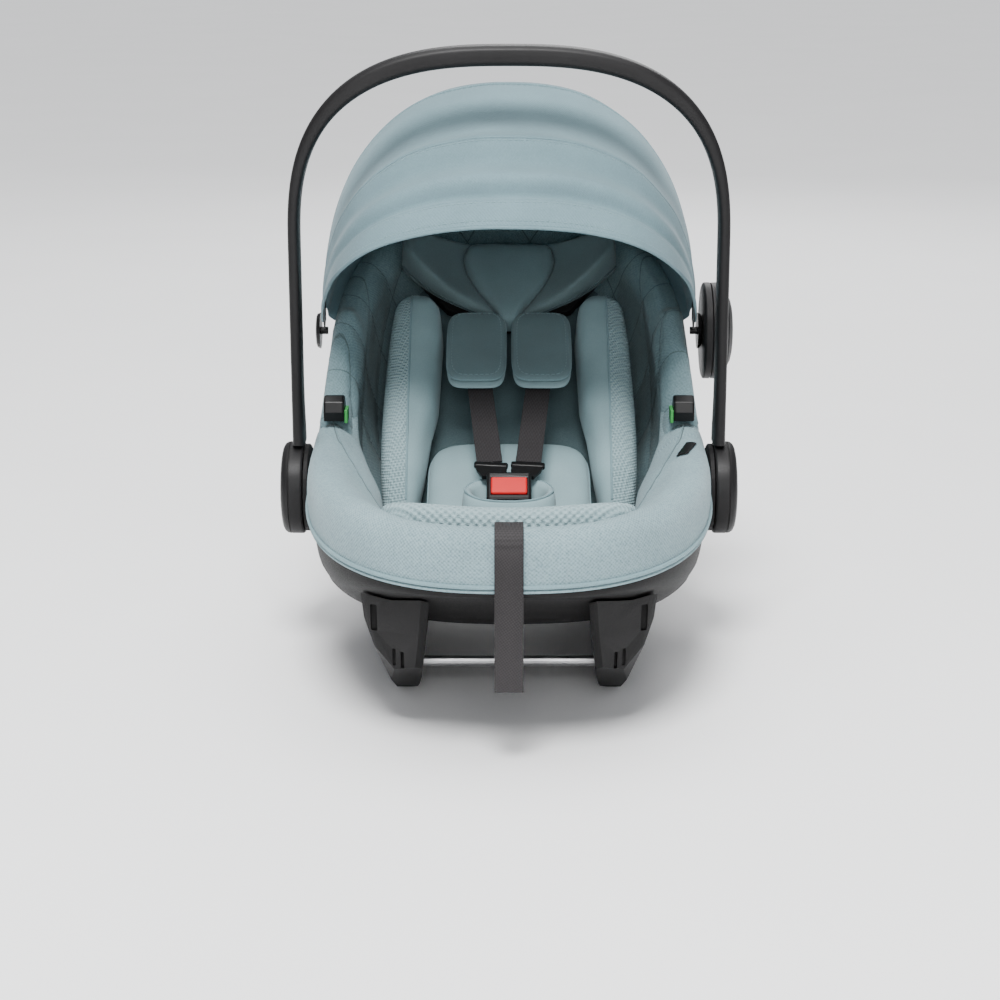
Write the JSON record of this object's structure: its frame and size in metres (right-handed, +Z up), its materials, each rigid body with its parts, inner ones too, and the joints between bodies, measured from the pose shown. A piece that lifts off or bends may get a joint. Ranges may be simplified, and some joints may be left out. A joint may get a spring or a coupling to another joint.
{
  "type": "infant car seat",
  "caption": "Rear-facing infant carrier seat: padded bucket shell on rocker runners, arched carrying handle, folding canopy, sliding headrest, buckled harness and a clip-on side-impact disc.",
  "frame": {"origin": "middle of the footprint, on the surface that the runners stand on", "axes": "+Z up, +Y towards the head end, +X towards the side that carries the side-impact disc"},
  "size_m": [0.4582, 0.6766, 0.595],
  "materials": {
    "fabric_melange": "woven two-tone melange, matt",
    "fabric_canopy": "plain stretch jersey, matt",
    "fabric_lining": "quilted lining, matt",
    "fabric_insert": "soft jersey over foam, matt",
    "knit_mesh": "chunky spacer knit, matt",
    "shell_plastic": "fine-grained black",
    "handle_plastic": "satin anthracite",
    "gloss_plastic": "satin black",
    "grip_rubber": "soft-touch dark grey",
    "webbing": "tightly woven polyester webbing",
    "red_plastic": "satin red",
    "green_plastic": "satin green",
    "liner_foam": "expanded polypropylene beads",
    "steel": "zinc plated"
  },
  "bodies": {
    "carrier": {"shell_bucket": "shell_plastic", "runner_left": "shell_plastic", "runner_right": "shell_plastic", "hub_housing_left": "shell_plastic", "hub_housing_right": "shell_plastic", "adjuster_housing": "shell_plastic", "foam_liner": "liner_foam", "seat_lining": "fabric_lining", "seat_cushion": "fabric_lining", "back_cushion": "fabric_lining", "cover_front": "fabric_melange", "cover_side_left": "fabric_melange", "cover_side_right": "fabric_melange", "cover_head": "fabric_melange", "latch_bar_front": "steel", "latch_bar_rear": "steel", "pivot_pin_left": "steel", "pivot_pin_right": "steel", "canopy_panel_fixed": "fabric_canopy", "canopy_clip_left": "gloss_plastic", "canopy_clip_right": "gloss_plastic", "buckle_body": "gloss_plastic", "belt_guide_left": "gloss_plastic", "belt_guide_right": "gloss_plastic", "label_tag": "gloss_plastic", "base_pad": "fabric_insert", "bolster_left": "fabric_insert", "bolster_right": "fabric_insert", "crotch_pad": "fabric_insert", "front_lip": "knit_mesh", "crotch_strap": "webbing", "adjuster_strap": "webbing", "belt_guide_insert_left": "green_plastic", "belt_guide_insert_right": "green_plastic"},
    "handle": {"handle_arch": "handle_plastic", "handle_hub_left": "handle_plastic", "handle_hub_right": "handle_plastic"},
    "release_button_left": {"release_button_left": "grip_rubber"},
    "release_button_right": {"release_button_right": "grip_rubber"},
    "canopy_rear": {"canopy_bow_rear": "handle_plastic", "canopy_panel_rear": "fabric_canopy"},
    "canopy_middle": {"canopy_bow_middle": "handle_plastic", "canopy_panel_middle": "fabric_canopy"},
    "canopy_front": {"canopy_bow_front": "handle_plastic", "canopy_panel_front": "fabric_canopy"},
    "headrest": {"headrest_shell": "shell_plastic", "headrest_centre_pad": "fabric_insert", "headrest_wing_left": "fabric_lining", "headrest_wing_right": "fabric_lining", "shoulder_pad_left": "fabric_insert", "shoulder_pad_right": "fabric_insert"},
    "buckle_button": {"buckle_button": "red_plastic"},
    "tongue_left": {"tongue_left": "gloss_plastic", "harness_strap_left": "webbing"},
    "tongue_right": {"tongue_right": "gloss_plastic", "harness_strap_right": "webbing"},
    "adjuster_lever": {"adjuster_lever": "steel"},
    "base_release_lever": {"base_release_lever": "shell_plastic"},
    "impact_disc": {"impact_disc_base": "handle_plastic", "impact_disc_cover": "handle_plastic"}
  },
  "joints": [
    {"name": "handle_fold", "type": "hinge", "parent": "carrier", "child": "handle", "pos_m": [0, -0.001, 0.16], "axis": [1, 0, 0], "range_deg": [-18, 95]},
    {"name": "release_button_left_push", "type": "slide", "parent": "handle", "child": "release_button_left", "axis": [1, 0, 0], "range_m": [0, 0.004], "stiffness_N_per_m": 400, "springref_m": -0.003},
    {"name": "release_button_right_push", "type": "slide", "parent": "handle", "child": "release_button_right", "axis": [-1, 0, 0], "range_m": [0, 0.004], "stiffness_N_per_m": 400, "springref_m": -0.003},
    {"name": "canopy_fold", "type": "hinge", "parent": "carrier", "child": "canopy_rear", "pos_m": [0, 0.129, 0.294], "axis": [-1, 0, 0], "range_deg": [0, 56]},
    {"name": "canopy_middle_turn", "type": "hinge", "parent": "canopy_rear", "child": "canopy_middle", "pos_m": [0, 0.129, 0.294], "axis": [-1, 0, 0], "range_deg": [0, 22]},
    {"name": "canopy_front_turn", "type": "hinge", "parent": "canopy_middle", "child": "canopy_front", "pos_m": [0, 0.129, 0.294], "axis": [-1, 0, 0], "range_deg": [0, 17]},
    {"name": "headrest_slide", "type": "slide", "parent": "carrier", "child": "headrest", "axis": [0, 0.7771, 0.6293], "range_m": [0, 0.04]},
    {"name": "buckle_button_push", "type": "slide", "parent": "carrier", "child": "buckle_button", "axis": [0, 0.6293, -0.7771], "range_m": [0, 0.0035], "stiffness_N_per_m": 600, "springref_m": -0.003},
    {"name": "tongue_left_release", "type": "slide", "parent": "carrier", "child": "tongue_left", "axis": [-0.0838, 0.9206, 0.3815], "range_m": [0, 0.022]},
    {"name": "tongue_right_release", "type": "slide", "parent": "carrier", "child": "tongue_right", "axis": [0.0838, 0.9206, 0.3815], "range_m": [0, 0.022]},
    {"name": "adjuster_lever_press", "type": "hinge", "parent": "carrier", "child": "adjuster_lever", "pos_m": [0, -0.246, 0.169], "axis": [-1, 0, 0], "range_deg": [0, 18], "stiffness_Nm_per_rad": 0.05, "springref_deg": -17.19},
    {"name": "base_release_pull", "type": "hinge", "parent": "carrier", "child": "base_release_lever", "pos_m": [0, 0.3275, 0.32], "axis": [1, 0, 0], "range_deg": [0, 20], "stiffness_Nm_per_rad": 0.3, "springref_deg": -17.19},
    {"name": "impact_disc_twist", "type": "hinge", "parent": "carrier", "child": "impact_disc", "pos_m": [0, 0.129, 0.294], "axis": [1, 0, 0], "range_deg": [0, 60]}
  ],
  "couplings": [
    {"joint": "canopy_middle_turn", "follows": "canopy_fold", "ratio": 0.39286},
    {"joint": "canopy_front_turn", "follows": "canopy_fold", "ratio": 0.30357}
  ]
}
